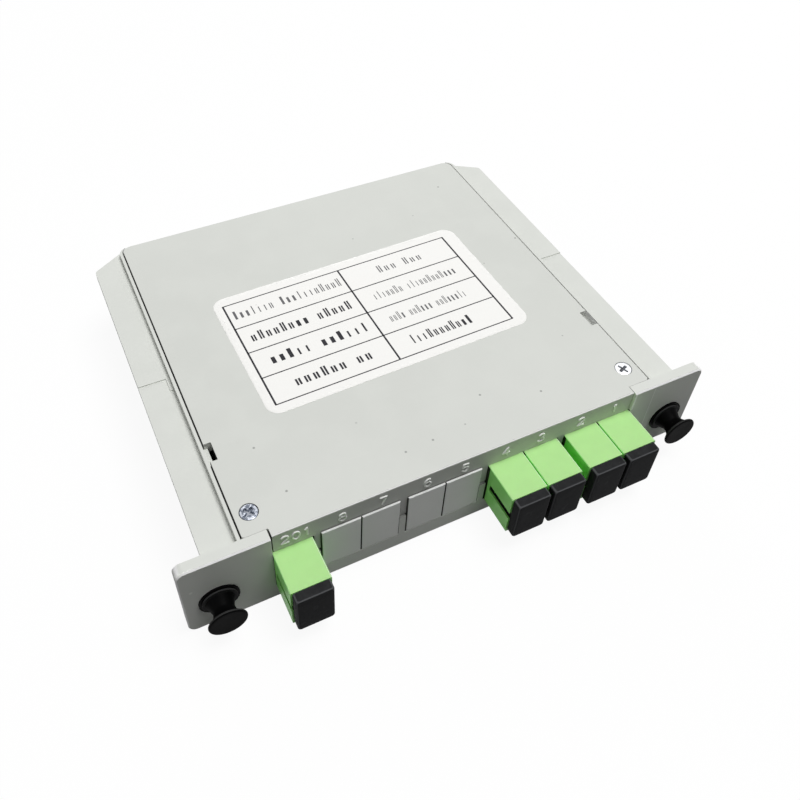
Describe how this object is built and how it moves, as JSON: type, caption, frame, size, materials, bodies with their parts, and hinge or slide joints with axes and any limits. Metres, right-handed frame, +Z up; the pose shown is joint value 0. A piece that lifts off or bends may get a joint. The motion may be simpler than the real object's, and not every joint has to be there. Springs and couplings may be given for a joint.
{
  "type": "plc fibre splitter cassette",
  "caption": "Flat plug-in fibre splitter cassette with green adapters, black dust caps, blank plates, side guide flanges and push-pull latches.",
  "frame": {"origin": "middle of the whole box in X and Y, on the underside", "axes": "+X to the right seen from the front panel, +Y from the panel to the back, +Z up"},
  "size_m": [0.13, 0.1116, 0.0235],
  "materials": {
    "case_grey": "satin",
    "blank_grey": "satin",
    "label_paper": "matte",
    "screw_steel": "polished",
    "latch_black": "satin",
    "adapter_green": "satin",
    "hook_plastic": "matte",
    "ceramic_white": "polished",
    "cap_black": "satin",
    "plug_green": "satin",
    "boot_green": "matte",
    "fibre_jacket": "satin",
    "tube_steel": "satin",
    "tube_filling": "matte",
    "chip_glass": "clear"
  },
  "bodies": {
    "cassette": {"base_tray": "case_grey", "top_cover": "case_grey", "label": "label_paper", "cover_screws": "screw_steel", "latch_grommet_left": "latch_black", "latch_grommet_right": "latch_black", "blank_port_5": "blank_grey", "blank_port_6": "blank_grey", "blank_port_7": "blank_grey", "blank_port_8": "blank_grey", "adapter_housing_input": "adapter_green", "adapter_hooks_input": "hook_plastic", "alignment_sleeve_input": "ceramic_white", "plug_body_input": "plug_green", "ferrule_input": "ceramic_white", "boot_input": "boot_green", "pigtail_input": "fibre_jacket", "adapter_housing_port_1": "adapter_green", "adapter_hooks_port_1": "hook_plastic", "alignment_sleeve_port_1": "ceramic_white", "plug_body_port_1": "plug_green", "ferrule_port_1": "ceramic_white", "boot_port_1": "boot_green", "pigtail_port_1": "fibre_jacket", "adapter_housing_port_2": "adapter_green", "adapter_hooks_port_2": "hook_plastic", "alignment_sleeve_port_2": "ceramic_white", "plug_body_port_2": "plug_green", "ferrule_port_2": "ceramic_white", "boot_port_2": "boot_green", "pigtail_port_2": "fibre_jacket", "adapter_housing_port_3": "adapter_green", "adapter_hooks_port_3": "hook_plastic", "alignment_sleeve_port_3": "ceramic_white", "plug_body_port_3": "plug_green", "ferrule_port_3": "ceramic_white", "boot_port_3": "boot_green", "pigtail_port_3": "fibre_jacket", "adapter_housing_port_4": "adapter_green", "adapter_hooks_port_4": "hook_plastic", "alignment_sleeve_port_4": "ceramic_white", "plug_body_port_4": "plug_green", "ferrule_port_4": "ceramic_white", "boot_port_4": "boot_green", "pigtail_port_4": "fibre_jacket", "splitter_tube": "tube_steel", "tube_end_left": "tube_filling", "tube_end_right": "tube_filling", "splitter_chip": "chip_glass"},
    "left_latch": {"latch_plunger_left": "latch_black"},
    "right_latch": {"latch_plunger_right": "latch_black"},
    "cap_input": {"dust_cap_input": "cap_black"},
    "cap_port_1": {"dust_cap_port_1": "cap_black"},
    "cap_port_2": {"dust_cap_port_2": "cap_black"},
    "cap_port_3": {"dust_cap_port_3": "cap_black"},
    "cap_port_4": {"dust_cap_port_4": "cap_black"}
  },
  "joints": [
    {"name": "left_latch_slide", "type": "slide", "parent": "cassette", "child": "left_latch", "axis": [0, -1, 0], "range_m": [0, 0.005]},
    {"name": "right_latch_slide", "type": "slide", "parent": "cassette", "child": "right_latch", "axis": [0, -1, 0], "range_m": [0, 0.005]},
    {"name": "cap_input_pull", "type": "slide", "parent": "cassette", "child": "cap_input", "axis": [0, -1, 0], "range_m": [0, 0.012]},
    {"name": "cap_port_1_pull", "type": "slide", "parent": "cassette", "child": "cap_port_1", "axis": [0, -1, 0], "range_m": [0, 0.012]},
    {"name": "cap_port_2_pull", "type": "slide", "parent": "cassette", "child": "cap_port_2", "axis": [0, -1, 0], "range_m": [0, 0.012]},
    {"name": "cap_port_3_pull", "type": "slide", "parent": "cassette", "child": "cap_port_3", "axis": [0, -1, 0], "range_m": [0, 0.012]},
    {"name": "cap_port_4_pull", "type": "slide", "parent": "cassette", "child": "cap_port_4", "axis": [0, -1, 0], "range_m": [0, 0.012]}
  ]
}
